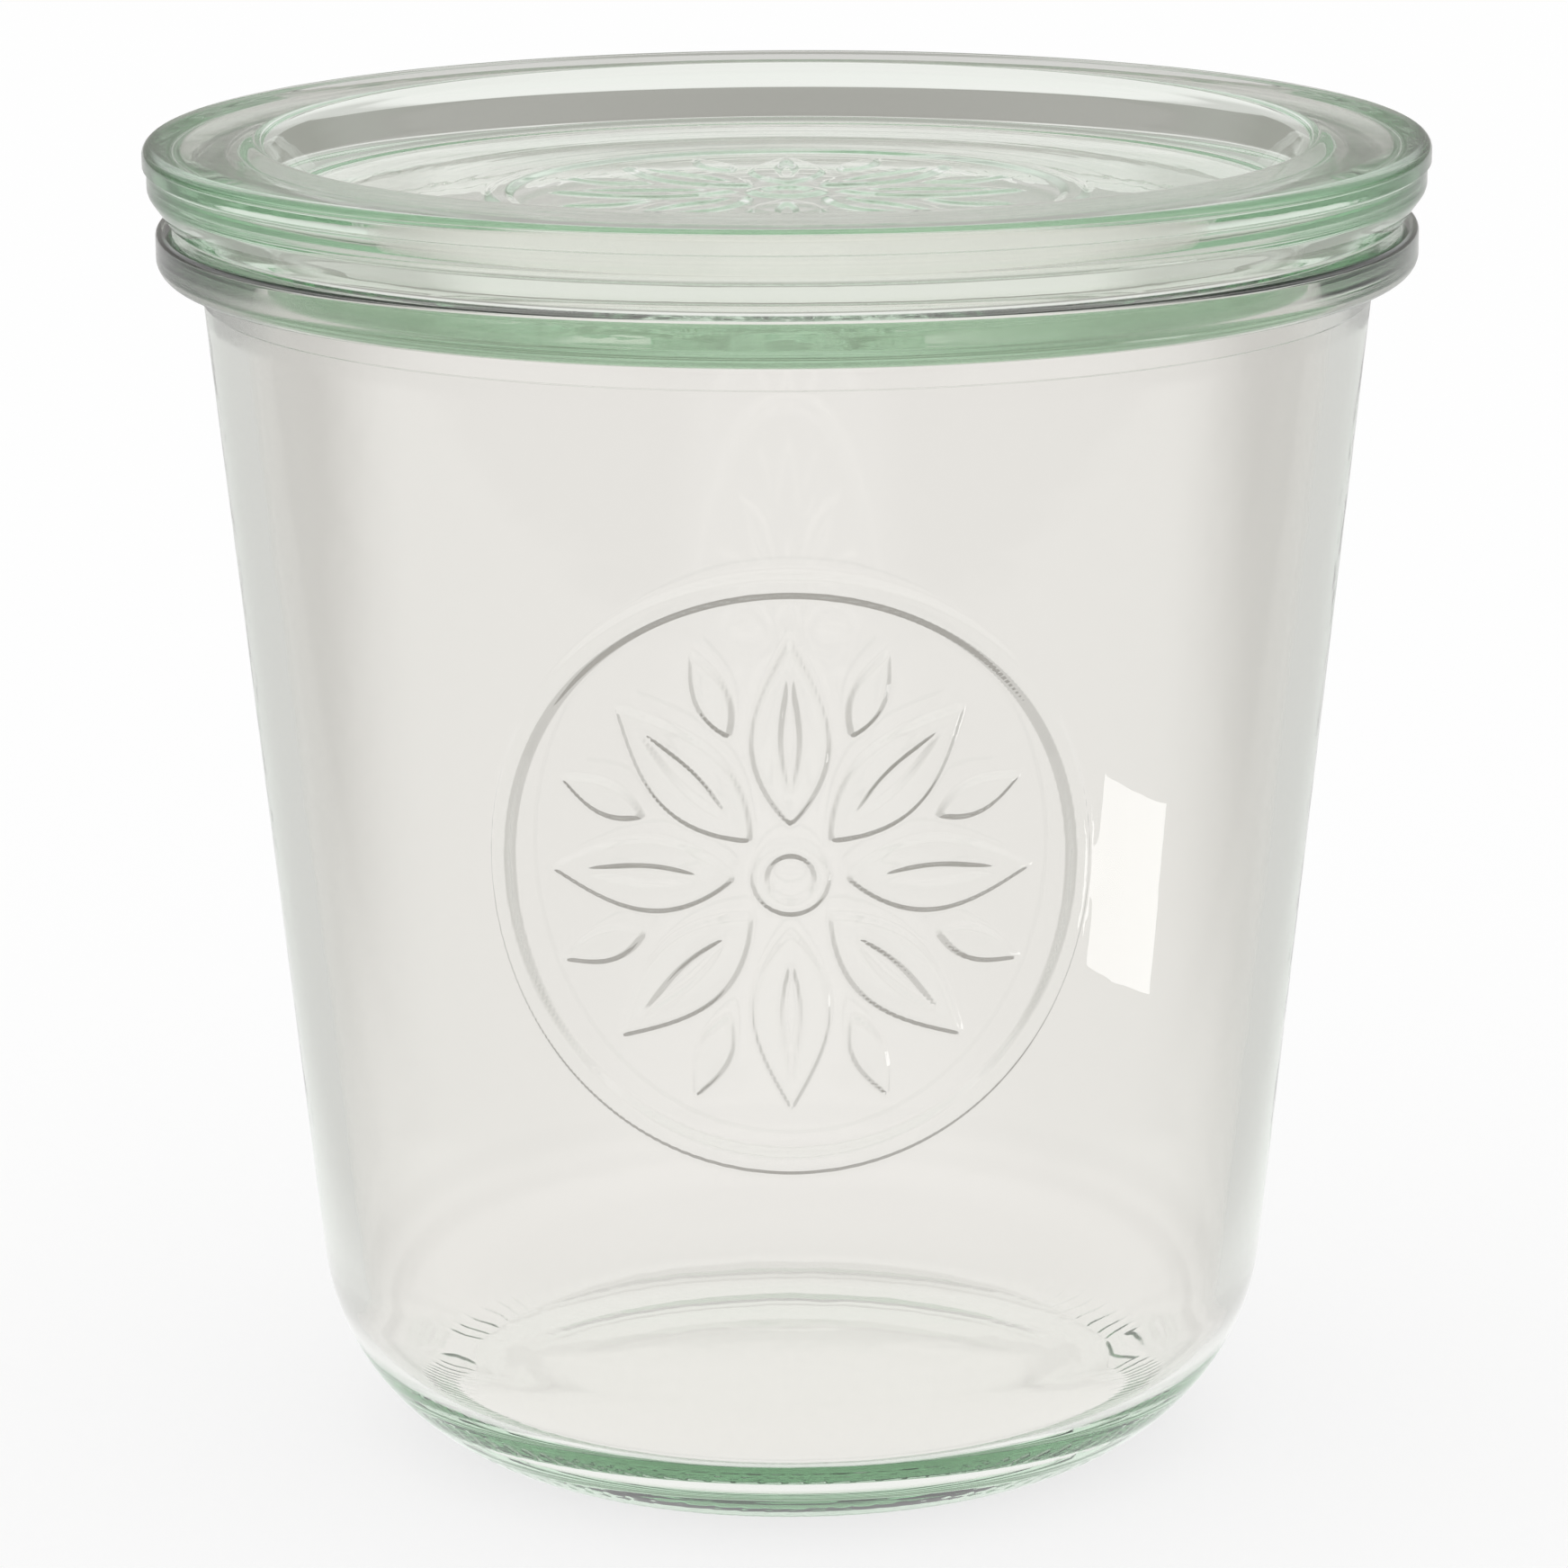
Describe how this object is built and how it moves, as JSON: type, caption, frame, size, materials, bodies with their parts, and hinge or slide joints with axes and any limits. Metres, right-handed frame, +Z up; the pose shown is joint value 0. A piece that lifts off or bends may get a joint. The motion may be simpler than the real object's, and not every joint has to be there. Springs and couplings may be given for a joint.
{
  "type": "glass canning jar",
  "caption": "Clear pressed-glass canning jar with tapered sides, a rounded heel and a beaded rim, and a loose dished glass lid resting on the rim.",
  "frame": {"origin": "middle of the ring the jar stands on, at the height of the surface it stands on", "axes": "+Z up along the jar's axis of revolution, through the middle of the mouth and the lid; -Y is the front, the side with the pressed ornament"},
  "size_m": [0.11, 0.11, 0.1143],
  "materials": {
    "clear_glass": "clear fire-polished pressed glass, faintly green where it is thick"
  },
  "bodies": {
    "root": {"jar": "clear_glass", "lid": "clear_glass"}
  },
  "joints": []
}
